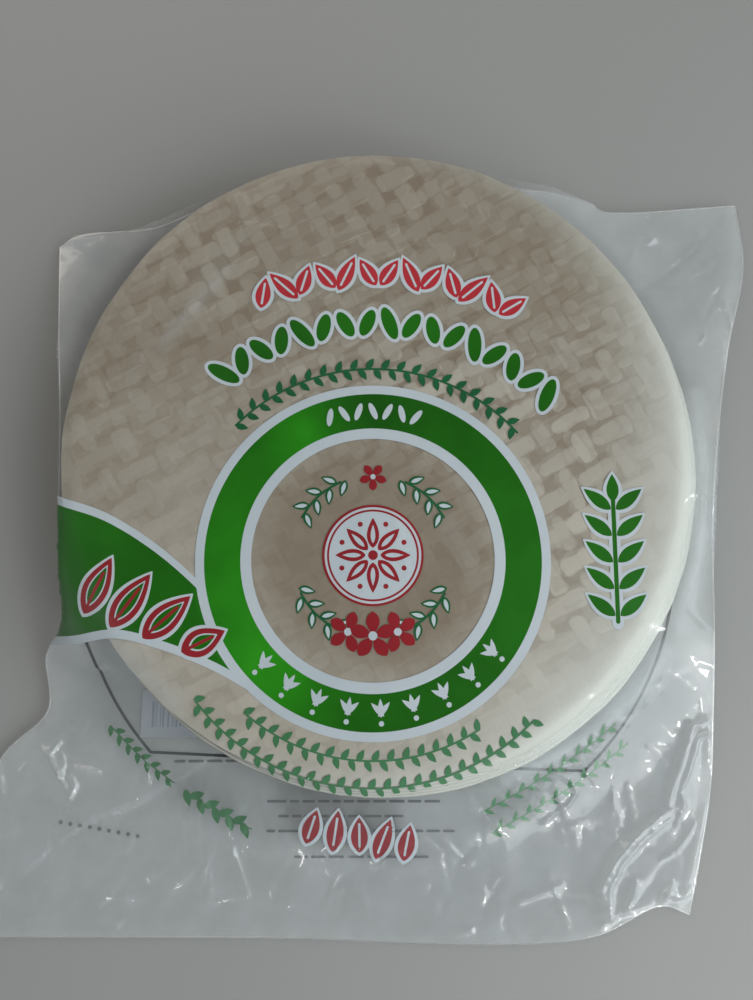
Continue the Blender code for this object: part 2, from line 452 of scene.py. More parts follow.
# Creases of the slack film: points, height and half width
CREASES = [
    ([(120, -92.6), (111.8, -94.6), (107.6, -106.7), (103.4, -118.2), (102.6, -123.2)], 2.4, 2.4),
    ([(120, -92.6), (117.3, -97), (113.4, -99.4), (109.6, -110.5), (107.2, -117)], 2.4, 2.2),
    ([(117.3, -97), (119.8, -103.8)], 2, 2.2),
    ([(102.6, -123.2), (108.4, -122.4), (107, -117)], 1.6, 1.6),
    ([(103.6, -123), (92.8, -130.6), (83.8, -140.5), (78.6, -149.5), (79.8, -160)], 2.2, 3.4),
    ([(105, -125.4), (94.5, -132.6), (86, -141.6), (81.4, -150.5), (80.8, -161)], 1.5, 1.8),
    ([(107.8, -122.6), (104.8, -129.8)], 1.2, 1.4),
    ([(116.6, -121), (112.4, -135.5), (108.6, -148.2)], 1.6, 1.8),
    ([(112.5, -127.4), (104.6, -138)], 0.9, 1.4),
    ([(103.6, -146.8), (96.4, -158.2)], 1.6, 1.8),
    ([(112.8, -148), (106.4, -152), (99, -151)], 1.6, 2),
    ([(90.8, -146.4), (89.2, -152.6), (86.4, -156.2)], 1.5, 1.8),
    ([(97, -154.6), (83.6, -157.8), (76.6, -163.2)], 1.3, 2),
    ([(98.4, -141), (104.4, -138.2)], 0.6, 1),
    ([(66.6, -111), (70.4, -117), (67.6, -121.6), (58, -128)], 0.9, 1.3),
    ([(48.6, -154.6), (66.2, -148.4)], 0.9, 2),
    ([(27.3, -165.3), (34.5, -163)], 0.8, 1.4),
    ([(-50.6, -134.8), (-47, -144), (-43.5, -153.3)], 0.8, 2),
    ([(-59.6, -144), (-58.6, -147.6)], 0.7, 0.9),
    ([(-49.8, -136), (-49, -139.6)], 0.7, 0.9),
    ([(-37.4, -150.4), (-36.4, -153.8)], 0.7, 0.9),
    ([(-119, -102), (-114.6, -104.6), (-110.4, -112), (-107.6, -116.6)], 2, 1.9),
    ([(-114.6, -104.6), (-112.2, -101.4), (-110.6, -99.6)], 1.6, 1.4),
    ([(-110.6, -103.4), (-109.4, -108), (-111, -113)], 1.6, 1.4),
    ([(-107.4, -108.8), (-97.4, -110.2), (-96.6, -111.4)], 1.5, 1.5),
    ([(-107, -111), (-105.2, -115), (-107.4, -120.5)], 1.7, 1.6),
    ([(-121.2, -97), (-116.2, -88.6)], 1.4, 1.5),
    ([(-127, -110.6), (-123, -106.2)], 0.9, 1.1),
    ([(-131, -103), (-132.6, -110), (-130.6, -118.6)], 1.6, 1.8),
    ([(-125.4, -86), (-126.6, -89.6)], 0.8, 0.9),
    ([(-121.6, -69), (-118.6, -70.6)], 2, 1.7),
    ([(-79.2, -110.8), (-79.8, -115.6)], 0.8, 0.9),
    ([(-101.4, -92), (-103.4, -98)], 0.7, 0.9),
    ([(-105.2, -96), (-109.4, -93)], 0.6, 0.9),
    ([(76.4, 105.2), (86.9, 104.4)], 1.4, 1.3),
    ([(66.4, 107.4), (74, 106.4)], 0.8, 1.2),
    ([(90.6, 99), (107.2, 98.2)], 1.4, 1.5),
    ([(104, 90.2), (108.4, 88), (104.6, 85)], 1.2, 1.6),
    ([(133, 63), (135, 54.2), (137, 47.4)], 1.1, 1.2),
    ([(123.6, 48.4), (119.6, 42.7)], 0.9, 1.1),
    ([(-122.6, 84), (-119.6, 79.6)], 0.9, 1.1),
    ([(-117.4, 88), (-104.6, 88.6)], 0.8, 1.1),
]
# Fine creases where the film lies on the top sheet
TOP_CREASES = [
    ([(-49.5, 84), (-27.4, 80.8)], 0.40, 0.9),
    ([(-69, 64.6), (-61, 53), (-56, 43)], 0.40, 1.1),
    ([(-74.6, 31), (-72.6, 22), (-67.4, 10.4)], 0.36, 1),
    ([(-61.6, 57.4), (-66.6, 49)], 0.30, 0.9),
    ([(-47.7, 78), (-50.6, 66.6)], 0.28, 0.8),
    ([(-88.6, 56.4), (-82, 47)], 0.26, 0.9),
    ([(28, 89.6), (52, 84.4)], 0.22, 0.9),
    ([(6, -20), (11.6, -44.6)], 0.20, 0.9),
]
# Pale streaks of painted reflection laid into the film's milky haze: each one's line, strength and
# half width
PAINTED_REFLECTIONS = [
    ([(-77, 36), (-70, 46), (-60, 58), (-51, 69)], 0.20, 4.5),
    ([(-98, -44), (-88, -64), (-76, -77), (-62, -88)], 0.22, 10),
    ([(113, 25), (114, -10), (112, -37), (104, -62)], 0.22, 9),
    ([(101, -66), (92, -81), (77, -95), (60, -104), (42, -111)], 0.26, 9),
    ([(-66, 60), (-44, 84)], 0.06, 5),
    ([(-88, 20), (-80, 38)], 0.06, 5),
    ([(30, 92), (58, 80)], 0.05, 4),
    ([(60, 40), (90, 20)], 0.05, 6),
    ([(18, -14), (34, -40)], 0.05, 5),
]
CRINKLE_SEED = 41
CRINKLES = 210
CREASE_STEP = 0.7
CREST_WIDTH = 0.55


def crease_lines(creases):
    return [np.array(smooth_run(points, CREASE_STEP)) for points, _, _ in creases]


def random_crinkles(outline):
    """Small straight creases over the film beside the stack, most of them running outwards."""
    rng = np.random.default_rng(CRINKLE_SEED)
    low, high = outline[:, :2].min(axis=0), outline[:, :2].max(axis=0)
    found = []
    while len(found) < CRINKLES:
        middle = rng.uniform(low, high)
        away = math.hypot(*middle)
        lean = rng.normal(0.0, 0.7)
        half = rng.uniform(2.0, 11.0)
        height = rng.choice([-1.0, 1.0]) * rng.uniform(0.15, 0.5)
        width = rng.uniform(0.9, 2.6)
        heading = math.atan2(middle[1], middle[0]) + lean
        step = half * np.array((math.cos(heading), math.sin(heading)))
        ends = np.array((middle - step, middle + step))
        if away > SHEET_RADIUS + 12.0 and inside_loop(ends, outline[:, :2]).all():
            found.append(([tuple(ends[0]), tuple(ends[1])], height, width))
    return found


def lift_of(points, creases):
    """How far the creases raise or lower the film: sharp crests that run out at their ends."""
    lift = np.zeros(len(points))
    for corners, height, half_width in creases:
        lengths = [math.dist(a, b) for a, b in zip(corners, corners[1:])]
        whole = sum(lengths)
        low = np.min(corners, axis=0) - half_width
        high = np.max(corners, axis=0) + half_width
        near = np.flatnonzero(np.all((points > low) & (points < high), axis=1))
        best = np.zeros(len(near))
        gone = 0.0
        for start, end, length in zip(corners, corners[1:], lengths):
            a = np.array(start)
            along = np.array(end) - a
            share = np.clip((points[near] - a) @ along / (along @ along), 0.0, 1.0)
            away = np.linalg.norm(points[near] - a - share[:, None] * along, axis=1)
            place = (gone + share * length) / whole
            taper = np.clip(4.0 * place * (1.0 - place), 0.0, 1.0) ** 0.35
            crest = np.clip(1.0 - away / half_width, 0.0, 1.0) ** 1.3 * taper
            best = np.maximum(best, crest)
            gone += length
        lift[near] += height * best
    return lift


# Waves of the slack film and ripples of the film on the sheet: height, size and seed
SLACK_WAVES = ((0.55, 17.0, 3), (0.30, 8.0, 4))
TOP_RIPPLES = ((0.05, 24.0, 5), (0.03, 9.0, 6))
TOP_SINK = 0.13
RIM_SINK = 0.3
# How milky the film is: on the sheet, where it hangs free, in creases, and below
CLEAR_HAZE = 0.006
SLACK_HAZE = 0.10
CREASE_HAZE = 0.10
LOWER_HAZE = 0.31
WELD_HAZE = 0.12


class Bag:
    """The bag's outline, and the heights of its two films."""

    def __init__(self):
        self.outline = bag_outline()
        self.tree = tree_of(self.outline)
        self.creases = CREASES + random_crinkles(self.outline)

    def seam(self, points):
        """Distance to the welded edge, and the height of the edge there."""
        found = [self.tree.find((x, y, 0.0)) for x, y in points]
        distance = np.array([hit[2] for hit in found])
        height = self.outline[np.array([hit[1] for hit in found]), 2]
        return distance, height

    def over_rim(self, points, shift, top, low, room, slackness):
        """The film over one round edge of the stack, and how it falls outside it."""
        away = beyond_rim(points, shift)
        out = np.maximum(away, 0.0)
        reach = np.minimum(out + room, FALL_REACH)
        power = TIGHT_POWER + (SLACK_POWER - TIGHT_POWER) * slackness
        fall = (1.0 - np.clip(out / np.maximum(reach, 0.01), 0.0, 1.0)) ** power
        height = low + (top - RIM_ROUND - low) * fall
        return np.where(away < 0.0, top - rim_drop(away), height)

    def upper(self, points):
        """Height of the upper film at each place, how milky it is with streaks of painted
        reflection added, and how much it shines.
        """
        room, seam = self.seam(points)
        away = beyond_rim(points)
        margin = np.maximum(away, 0.0) + room
        slackness = np.clip((margin - TIGHT_MARGIN) / (SLACK_MARGIN - TIGHT_MARGIN), 0.0, 1.0)
        beside = smoothstep(away, 0.0, 9.0) * smoothstep(room, 0.0, 3.0)
        waves = layered_noise(points, *SLACK_WAVES)
        creased = lift_of(points, self.creases)
        low = seam + (waves * smoothstep(room, 0.0, 9.0) + 0.4) * slackness
        first = self.over_rim(points, (0.0, 0.0), TOP_Z, low, room, slackness)
        second = self.over_rim(points, SLID_SHIFT, SLID_TOP, low, room, slackness)
        height = smooth_highest(first, second, 2.9) + creased * beside
        flat = 1.0 - smoothstep(away, -7.0, -2.0)
        ripple = layered_noise(points, *TOP_RIPPLES) - TOP_SINK
        height += flat * ripple + lift_of(points, TOP_CREASES)
        height -= RIM_SINK * smoothstep(away, -DOME_WIDTH, 0.0) * (1.0 - smoothstep(away, 0.0, 8.0))
        steepness = np.clip(np.abs(creased) / 1.6, 0.0, 1.0)
        milky_and_reflection = CLEAR_HAZE + SLACK_HAZE * beside + CREASE_HAZE * steepness * beside
        clinging = np.clip(1.0 - np.abs(away - 1.0) / 7.0, 0.0, 1.0)
        shine = 0.4 - 0.25 * clinging + 0.6 * smoothstep(away, 4.0, 14.0)
        # Painted reflection: pale streaks added to the film's haze
        milky_and_reflection += lift_of(points, PAINTED_REFLECTIONS)
        return np.maximum(height, 0.4 * seam), milky_and_reflection, shine

    def lower(self, points):
        """The same for the lower film: flat under the stack, rising to the welded edge."""
        room, seam = self.seam(points)
        out = np.maximum(beyond_rim(points, BASE_SHIFT), 0.0)
        share = out / np.maximum(out + room, 0.01)
        height = FLOOR_GAP + (seam - FLOOR_GAP) * share**UNDER_POWER
        return height, np.full(len(points), LOWER_HAZE), np.ones(len(points))


# ---- shapes for the print

RING_CENTRE = (-0.7, -36.7)
RINGS = (("white", 60.4), ("green", 57.3), ("white", 45.0), ("bare", 41.3))
RING_MIDDLE = 51.2
TITLE_RADIUS = 66.4
KEYLINE = 1.25


def disc(centre, radius, step=0.9):
    count = max(10, round(2 * math.pi * radius / step))
    turns = np.arange(count) * 2 * math.pi / count
    return np.column_stack((centre[0] + radius * np.cos(turns), centre[1] + radius * np.sin(turns)))


def oval(centre, length, width, heading, grow=0.0):
    """A rice grain: an ellipse whose long side points to the heading, in degrees."""
    count = max(12, round(2.6 * length / 0.8))
    turns = np.arange(count) * 2 * math.pi / count
    long, wide = length / 2 + grow, width / 2 + grow
    shape = np.column_stack((long * np.cos(turns), wide * np.sin(turns)))
    return turned(shape, heading) + np.array(centre)


def leaf(centre, length, width, heading, grow=0.0):
    """A leaf with a round foot and a pointed tip towards the heading, in degrees."""
    count = max(8, round(length / 0.7))
    share = np.linspace(0.0, 1.0, count)
    across = np.sin(math.pi * share**0.8) ** 0.9 * (width / 2 + grow)
    along = (share - 0.5) * (length + 2 * grow)
    upper = np.column_stack((along, across))
    lower = np.column_stack((along, -across))[::-1][1:-1]
    return turned(np.concatenate((upper, lower)), heading) + np.array(centre)


def band(points, width, step=1.0):
    """A ribbon of one width along a smooth run of points, with round ends."""
    run = np.array(smooth_run(points, step))
    along = np.gradient(run, axis=0)
    along /= np.linalg.norm(along, axis=1)[:, None]
    side = np.column_stack((-along[:, 1], along[:, 0])) * width / 2
    turns = np.radians(np.arange(30, 180, 30))
    caps = []
    for end, out, on in ((run[-1], side[-1], along[-1]), (run[0], -side[0], -along[0])):
        caps.append([end + out * math.cos(t) + on * (width / 2) * math.sin(t) for t in turns])
    return np.concatenate((run + side, np.array(caps[0]), (run - side)[::-1], np.array(caps[1])))


def arc_points(centre, radius, first, last, count=9):
    return [polar(centre, radius, first + (last - first) * i / (count - 1)) for i in range(count)]


class Print(list):
    """Closed shapes with their inks; the later ones lie on top."""

    def add(self, ink, *shapes):
        self.extend((ink, shape) for shape in shapes)


def keyed(paint, ink, shapes):
    """Several shapes in an ink with one white edge round them all."""
    paint.add("white", *[shape(*sizes, grow=KEYLINE) for shape, sizes in shapes])
    paint.add(ink, *[shape(*sizes) for shape, sizes in shapes])


def ribbed(paint, leaves):
    """A thin white rib down the middle of each leaf."""
    for _, (place, length, _, heading) in leaves:
        rib = [polar(place, reach * length, heading) for reach in (-0.34, 0.0, 0.30)]
        paint.add("white", band(rib, 0.8))


def side_of(index):
    """Left and right in turn."""
    return 1.0 if index % 2 else -1.0


def along_arc(radius, first, last, count):
    """Places on an arc round the ring's centre: index, place, and the way outwards there."""
    for index in range(count):
        degrees = first + (last - first) * index / (count - 1)
        yield index, polar(RING_CENTRE, radius, degrees), degrees


def print_ring(paint):
    """The green ring in its two white ones, with buds below and grains above."""
    for ink, radius in RINGS:
        paint.add(ink, disc(RING_CENTRE, radius))
    for _, place, out in along_arc(RING_MIDDLE, 224.0, 322.0, 9):
        for lean in (-42.0, 0.0, 42.0):
            inwards = out + 180.0 + lean
            paint.add("white", leaf(polar(place, 1.6, inwards), 6.2, 1.9, inwards))
        paint.add("white", disc(polar(place, 3.4, out), 0.9, 0.6))
    for index, place, out in along_arc(RING_MIDDLE, 107.0, 73.0, 7):
        paint.add("white", oval(place, 6.4, 2.2, out + 24.0 * side_of(index)))


# The banner's upper and lower edges, from the side of the pack to the ring
BANNER_TOP = [
    (-124, -17.5), (-113, -17.3), (-106, -19.4), (-92.2, -24.1),
    (-74.7, -34.7), (-59, -48.1), (-52.4, -56),
]
BANNER_FOOT = [
    (-124, -63.6), (-113, -63.4), (-103.3, -62.9), (-87, -60.6),
    (-70.1, -64.7), (-53.2, -71.4), (-41.5, -77.8),
]
BANNER_TIP = (-46.5, -66.5)
BANNER_RIM = 3.0


def print_banner(paint):
    """The band that runs from the ring round the side of the pack."""
    upper = np.array(smooth_run(BANNER_TOP, 1.0))
    lower = np.array(smooth_run(BANNER_FOOT, 1.0))
    rim = np.array((0.0, BANNER_RIM))
    white = np.concatenate((upper + rim, [RING_CENTRE], (lower - rim)[::-1]))
    green = np.concatenate((upper, [BANNER_TIP], lower[::-1]))
    paint.add("white", white)
    paint.add("green", green)


def print_banner_leaves(paint):
    """Open leaves, each with a midrib."""
    for place, heading, size in (
        ((-94.0, -46.0), 64.0, 21.0),
        ((-82.5, -51.0), 54.0, 22.0),
        ((-70.0, -56.5), 42.0, 21.0),
        ((-57.5, -64.5), 26.0, 16.0),
    ):
        paint.add("white", leaf(place, size, 9.0, heading, KEYLINE))
        paint.add("red", leaf(place, size, 9.0, heading))
        paint.add("white", leaf(place, size - 5.4, 5.2, heading))
        paint.add("green", leaf(place, size - 7.0, 4.2, heading))
        rib = [polar(place, reach * size, heading) for reach in (-0.42, 0.0, 0.22)]
        paint.add("red", band(rib, 1.1))


def print_garlands(paint):
    """Three rows of leaves and grains over the ring, where a pack has its title."""
    red = []
    for index, place, out in along_arc(102.3, 112.5, 61.0, 13):
        tall = 14.0 if index % 3 == 1 else 11.5
        red.append((leaf, (place, tall, 5.4, out + 30.0 * side_of(index))))
    keyed(paint, "red", red)
    ribbed(paint, red)
    green = []
    for index, place, out in along_arc(83.4, 129.0, 43.0, 17):
        tall = 12.5 if index % 4 == 0 else 10.2
        green.append((oval, (place, tall, 4.8, out - 24.0 * side_of(index))))
    keyed(paint, "green", green)
    stem = arc_points(RING_CENTRE, TITLE_RADIUS, 136.0, 41.0, 21)
    paint.add("teal", band(stem, 0.7))
    for index, place, out in along_arc(TITLE_RADIUS, 135.0, 42.0, 41):
        side = side_of(index)
        middle = polar(place, 1.9 * side, out)
        paint.add("teal", leaf(middle, 4.6, 2.3, out - 90.0 + side * 58.0))


def print_below_ring(paint):
    """Two rows of small leaves."""
    rows = ((66.4, 231.0, 302.0, 33, 4.4), (75.4, 219.0, 315.0, 50, 4.1))
    for radius, first, last, count, size in rows:
        paint.add("mint", band(arc_points(RING_CENTRE, radius, first, last, 17), 0.6))
        for index, place, out in along_arc(radius, first, last, count):
            side = side_of(index)
            middle = polar(place, 1.6 * side, out)
            paint.add("mint", leaf(middle, size, 2.2, out + 90.0 - side * 62.0))


def blossom(paint, middle, size, turn):
    """A small red flower with five open petals."""
    for index in range(5):
        heading = turn + 72.0 * index
        petal = polar(middle, 0.56 * size, heading + 180.0)
        paint.add("red", leaf(petal, size, 0.60 * size, heading))
    paint.add("white", disc(middle, 0.20 * size, 0.5))


def print_middle(paint):
    """A flower of grains in a disc, with sprigs above and below it."""
    heart = (RING_CENTRE[0], RING_CENTRE[1] + 1.0)
    for ink, radius in (("red", 17.2), ("white", 16.4), ("red", 15.6), ("white", 14.9)):
        paint.add(ink, disc(heart, radius))
    for heading in np.arange(0.0, 360.0, 45.0):
        paint.add("red", leaf(polar(heart, 7.6, heading), 10.4, 4.2, heading))
        paint.add("white", leaf(polar(heart, 7.2, heading), 6.4, 1.6, heading))
        paint.add("red", disc(polar(heart, 11.4, heading + 22.5), 0.9, 0.6))
    paint.add("white", disc(heart, 2.6))
    paint.add("red", disc(heart, 1.7))
    for first, last in ((66.0, 28.0), (114.0, 152.0), (208.0, 246.0), (332.0, 294.0)):
        way = 1.0 if last > first else -1.0
        stem = [polar(heart, 27.5, first + (last - first) * s) for s in (0, 0.33, 0.67, 1)]
        paint.add("teal", band(stem, 0.7))
        for index in range(7):
            degrees = first + (last - first) * index / 6
            side = side_of(index)
            place = polar(heart, 27.5 + 2.4 * side, degrees)
            heading = degrees + 90.0 * way - 50.0 * way * side
            paint.add("teal", leaf(place, 6.0, 2.8, heading))
            paint.add("white", leaf(place, 4.4, 1.4, heading))
    for degrees, size in ((90.0, 4.6), (252.0, 6.6), (270.0, 7.6), (288.0, 6.6)):
        blossom(paint, polar(heart, 27.0, degrees), size, degrees)


def print_side_sprig(paint):
    """An upright sprig at the right."""
    x = 81.6
    leaves = []
    for index in range(5):
        for side in (-1.0, 1.0):
            place = (x + side * 5.4, -52.5 + 9.0 * index)
            leaves.append((place, 11.6, 4.2, 90.0 - side * 52.0))
    leaves.append(((x, -12.6), 9.6, 4.2, 90.0))
    for ink, grow, foot, width in (("white", KEYLINE, -58.6, 4.0), ("green", 0.0, -58.0, 1.5)):
        paint.add(ink, *[leaf(*sizes, grow=grow) for sizes in leaves])
        paint.add(ink, band([(x, foot), (x, -36.0), (x, -14.0)], width))


def print_on_flap(paint):
    """What is printed beyond the stack: leaves in red, and four rows of small ones."""
    shapes = []
    for index in range(5):
        place = (-21.8 + 8.2 * index, -127.8 - 1.5 * index)
        shapes.append((leaf, (place, 16.5 if index % 2 else 14.0, 5.8, 72.0 + 9.0 * (index % 3))))
    keyed(paint, "red", shapes)
    ribbed(paint, shapes)
    rows = [
        ([(-92.6, -94.6), (-86, -101.4), (-78.6, -107.8), (-70.2, -113.6)], 13, 4.4, 2),
        ([(-66.4, -117.4), (-58, -122.2), (-49.6, -126.8), (-43, -129.6)], 9, 6.4, 3),
        ([(37.4, -122.6), (52, -114.2), (67, -104.4), (82.4, -92.8)], 19, 4.2, 1.6),
        ([(40.6, -131.2), (56, -122.6), (72, -112.4), (88, -100.4)], 20, 4.2, 1.6),
    ]
    for points, count, length, width in rows:
        run = np.array(smooth_run(points, 0.5))
        paint.add("mint", band(points, 0.5))
        for index in range(count):
            at = round((len(run) - 2) * (index + 0.5) / count)
            heading = math.degrees(math.atan2(*(run[at + 1] - run[at])[::-1]))
            side = side_of(index)
            middle = polar(run[at], 1.4 * side, heading + 90.0)
            paint.add("mint", leaf(middle, length, width, heading + 50.0 * side))


def upper_print():
    paint = Print()
    print_banner(paint)
    print_ring(paint)
    print_banner_leaves(paint)
    print_garlands(paint)
    print_below_ring(paint)
    print_middle(paint)
    print_side_sprig(paint)
    print_on_flap(paint)
    return paint


BACK_CENTRE = (0.5, -30.0)
BACK_RADIUS = 110.0
STRIPES_SEED = 8
# Grey rows of the lower film's print: height, start and end
BACK_ROWS = (
    (-107.8, -71.4, -50), (-121.6, -38, 24), (-126.6, -34, 6), (-131.6, -38, 26),
    (-140.2, -28, 20),
)


def chord_end(y, side):
    x = side * math.sqrt(BACK_RADIUS**2 - (y - BACK_CENTRE[1]) ** 2)
    return (BACK_CENTRE[0] + x, y)


def back_print():
    """The lower film's print: a thin circle cut off below, a pale panel and grey rows."""
    paint = Print()
    left = chord_end(-104.6, -1.0)
    right = chord_end(-111.2, 1.0)
    first = math.degrees(math.atan2(right[1] - BACK_CENTRE[1], right[0] - BACK_CENTRE[0]))
    last = math.degrees(math.atan2(left[1] - BACK_CENTRE[1], left[0] - BACK_CENTRE[0])) + 360.0
    paint.add("dark", band(arc_points(BACK_CENTRE, BACK_RADIUS, first, last, 60), 1.0))
    paint.add("dark", band([left, ((left[0] + right[0]) / 2, -108.6), right], 1.0))
    panel = np.array([(-84.2, -82.9), (-57.4, -82.9), (-57.4, -99.5), (-84.2, -99.5)])
    paint.add("pale", panel)
    rng = np.random.default_rng(STRIPES_SEED)
    x = -80.5
    while x < -60.0:
        width = rng.choice([0.35, 0.6, 0.9])
        stripe = np.array([(x, -87.0), (x + width, -87.0), (x + width, -96.0), (x, -96.0)])
        paint.add("faint", stripe)
        x += width + rng.choice([0.5, 0.8, 1.2])
    for y, x, end in BACK_ROWS:
        while x < end:
            length = rng.uniform(2.0, 6.5)
            paint.add("grey", band([(x, y), (x + length, y)], 0.9, 1.0))
            x += length + 1.9
    for index in range(9):
        x = -111.0 + 3.4 * index
        paint.add("grey", disc((x, -128.4 - 0.6 * index), 0.75, 0.6))
    return paint


# ---- films and their print

FILM_PITCH = 1.3
TOP_PITCH = 1.7
RIM_STEPS = np.arange(-4.4, 4.6, 0.6)
LINE_CLEARANCE = 0.42
INK_DEPTH = 0.08
HAZE_OVER_INK = 0.15


def flanks_of(creases):
    """Places close on both sides of the creases, for a sharp crest."""
    flanks = []
    for line in creases:
        along = np.gradient(line, axis=0)
        along /= np.linalg.norm(along, axis=1)[:, None]
        side = np.column_stack((-along[:, 1], along[:, 0])) * CREST_WIDTH
        flanks += [line + side, line - side]
    return np.concatenate(flanks)


def film_points(bag, lines, creases):
    """Places for the upper film's points: dense by the rim, spread evenly elsewhere."""
    edge = bag.outline[:, :2]
    rings = [disc((0.0, 0.0), SHEET_RADIUS + step, 1.15) * SHEET_OVAL for step in RIM_STEPS]
    rings = np.concatenate(rings)
    rings = rings[inside_loop(rings, edge)]
    low, high = edge.min(axis=0), edge.max(axis=0)
    beside = honeycomb(low, high, FILM_PITCH)
    beside = beside[(beyond_rim(beside) > RIM_STEPS[-1] + 0.5) & inside_loop(beside, edge)]
    above = honeycomb(low, high, TOP_PITCH)
    above = above[beyond_rim(above) < RIM_STEPS[0] - 0.6]
    spread = np.concatenate((rings, beside, above))
    flanks = flanks_of(creases)
    flanks = flanks[inside_loop(flanks, edge)]
    spread = np.concatenate((away_from(spread, flanks, CREST_WIDTH), flanks))
    return away_from(spread, np.concatenate(lines), LINE_CLEARANCE)


def painted(centres, paint):
    """The ink over each triangle: that of the last shape which covers it."""
    inks = np.full(len(centres), "bare", dtype=object)
    for ink, loop in paint:
        inks[inside_loop(centres, loop)] = ink
    return inks


# Painted light and shade on the ring's green, where it is brighter or darker: place, reach, how
# much
GREEN_PAINTED_LIGHT = [
    ((-50, -40), 38, 0.65),
    ((-26.3, 7.6), 12, 1),
    ((-32.2, -77), 16, 1.2),
    ((0, 14), 14, -0.26),
    ((18, -84), 18, -0.14),
]


def green_painted_light(points):
    """Painted light and shade on the green ink: how bright it is at each place, as a share of its
    own colour.
    """
    inside = 1.0 - smoothstep(np.hypot(*(points - RING_CENTRE).T), 57.0, 63.0)
    ink_brightness = np.full(len(points), 0.82)
    for centre, reach, gain in GREEN_PAINTED_LIGHT:
        ink_brightness += gain * inside * np.exp(-((points - centre) ** 2).sum(axis=1) / reach**2)
    return ink_brightness


def red_brightness(points):
    """The red is brightest in the row over the ring."""
    return 0.66 + 0.34 * smoothstep(points[:, 1], 10.0, 45.0)


# Each ink's brightness by place: painted light and shade on the green, a brighter row on the red
INK_BRIGHTNESS = {"green": green_painted_light, "red": red_brightness}


def ink_set(rows):
    """The inks of a film: each one's material and its slot."""
    inks = {}
    for ink, name, slot, dark, light in rows:
        inks[ink] = (ink_material(name, dark, light, ink in INK_BRIGHTNESS), slot)
    return inks


def film_sheet(name, bag, paint, runs, spread, height_of, material, inks, side):
    """One film with its print: each ink is a piece that follows the film on its inner side.

    A side of 1 puts the ink under the film, and -0.5 half as far above it.
    """
    edge = bag.outline[:, :2]
    loops = [loop for _, loop in paint]
    flat, faces = flat_mesh([edge, *loops], runs, spread)
    flat, faces = only(flat, faces[inside_loop(flat[faces].mean(axis=1), edge)])
    height, haze, shine = height_of(flat)
    points = np.column_stack((flat, height))
    covered = painted(flat[faces].mean(axis=1), paint)
    if side > 0:
        haze[np.unique(faces[covered != "bare"])] *= HAZE_OVER_INK
    film = add_piece(name, points, faces, material, "film", haze=haze, shine=shine)
    normals = np.zeros(len(points) * 3)
    film.data.vertices.foreach_get("normal", normals)
    normals = normals.reshape(-1, 3)
    normals *= np.sign(normals[:, 2:3])
    below = points - normals * INK_DEPTH * side
    for ink, (material, slot) in inks.items():
        chosen = faces[covered == ink]
        if len(chosen):
            ink_points, ink_faces = only(below, chosen)
            values = {"ink_brightness": INK_BRIGHTNESS[ink](ink_points[:, :2])} if ink in INK_BRIGHTNESS else {}
            add_piece(f"{name}_{ink}", ink_points, ink_faces, material, slot, **values)


# Each ink's name, material, slot, and darkest and lightest colour
UPPER_INKS = (
    ("green", "green_ink", "ink_green", (0.010, 0.128, 0.003), (0.018, 0.205, 0.007)),
    ("teal", "leaf_green_ink", "ink_green", (0.012, 0.110, 0.040), (0.016, 0.140, 0.050)),
    ("mint", "pale_green_ink", "ink_green", (0.062, 0.205, 0.090), (0.074, 0.240, 0.112)),
    ("white", "white_ink", "ink_white", (0.52, 0.60, 0.65), (0.60, 0.67, 0.72)),
    ("red", "red_ink", "ink_red", (0.42, 0.025, 0.035), (0.52, 0.035, 0.050)),
)
LOWER_INKS = (
    ("dark", "dark_ink", "ink_dark", (0.012, 0.014, 0.014), (0.020, 0.023, 0.023)),
    ("grey", "grey_ink", "ink_dark", (0.11, 0.12, 0.13), (0.15, 0.16, 0.17)),
    ("pale", "panel_ink", "ink_white", (0.46, 0.50, 0.56), (0.50, 0.54, 0.60)),
    ("faint", "stripe_ink", "ink_dark", (0.30, 0.34, 0.42), (0.34, 0.38, 0.46)),
)
FILM_HAZE_TINT = (0.80, 0.86, 0.88, 1.0)
LOWER_PITCH = 4.0
LOWER_CLEARANCE = 0.8


def add_films(bag):
    """The upper film with its creases and print, then the plainer lower film."""
    clear = film_material("clear_film", 0.08, FILM_HAZE_TINT)
    edge = bag.outline[:, :2]
    paint = upper_print()
    runs = crease_lines(bag.creases) + crease_lines(TOP_CREASES)
    lines = [edge, *[loop for _, loop in paint], *runs]
    spread = film_points(bag, lines, crease_lines(CREASES))
    inks = ink_set(UPPER_INKS)
    film_sheet("film_upper", bag, paint, runs, spread, bag.upper, clear, inks, 1.0)
    paint = back_print()
    spread = honeycomb(edge.min(axis=0), edge.max(axis=0), LOWER_PITCH)
    lines = [edge, *[loop for _, loop in paint]]
    spread = away_from(spread, np.concatenate(lines), LOWER_CLEARANCE)
    inks = ink_set(LOWER_INKS)
    film_sheet("film_lower", bag, paint, [], spread, bag.lower, clear, inks, -0.5)


# Half the weld's width and height
WELD_HALF = (0.32, 0.16)


def add_weld(bag):
    """The welded edge: a fine clear bead round the bag."""
    clear = film_material("weld_film", 0.15, (0.85, 0.90, 0.92, 1.0))
    edge = bag.outline
    along = np.roll(edge, -1, axis=0) - np.roll(edge, 1, axis=0)
    along /= np.linalg.norm(along, axis=1)[:, None]
    side = np.column_stack((along[:, 1], -along[:, 0], np.zeros(len(edge))))
    up = np.array((0.0, 0.0, 1.0))
    turns = np.radians(np.arange(0, 360, 60))
    wide, tall = WELD_HALF
    rows = [edge + side * wide * math.cos(t) + up * tall * math.sin(t) for t in turns]
    points = np.concatenate(rows)
    quads = np.array(join_rows([*rows, rows[0]], 0)) % len(points)
    same = np.ones(len(points))
    haze = WELD_HAZE * same
    add_piece("film_weld", points, quads[:, [0, 3, 2, 1]], clear, "film", haze=haze, shine=same)


# ---- the sheets

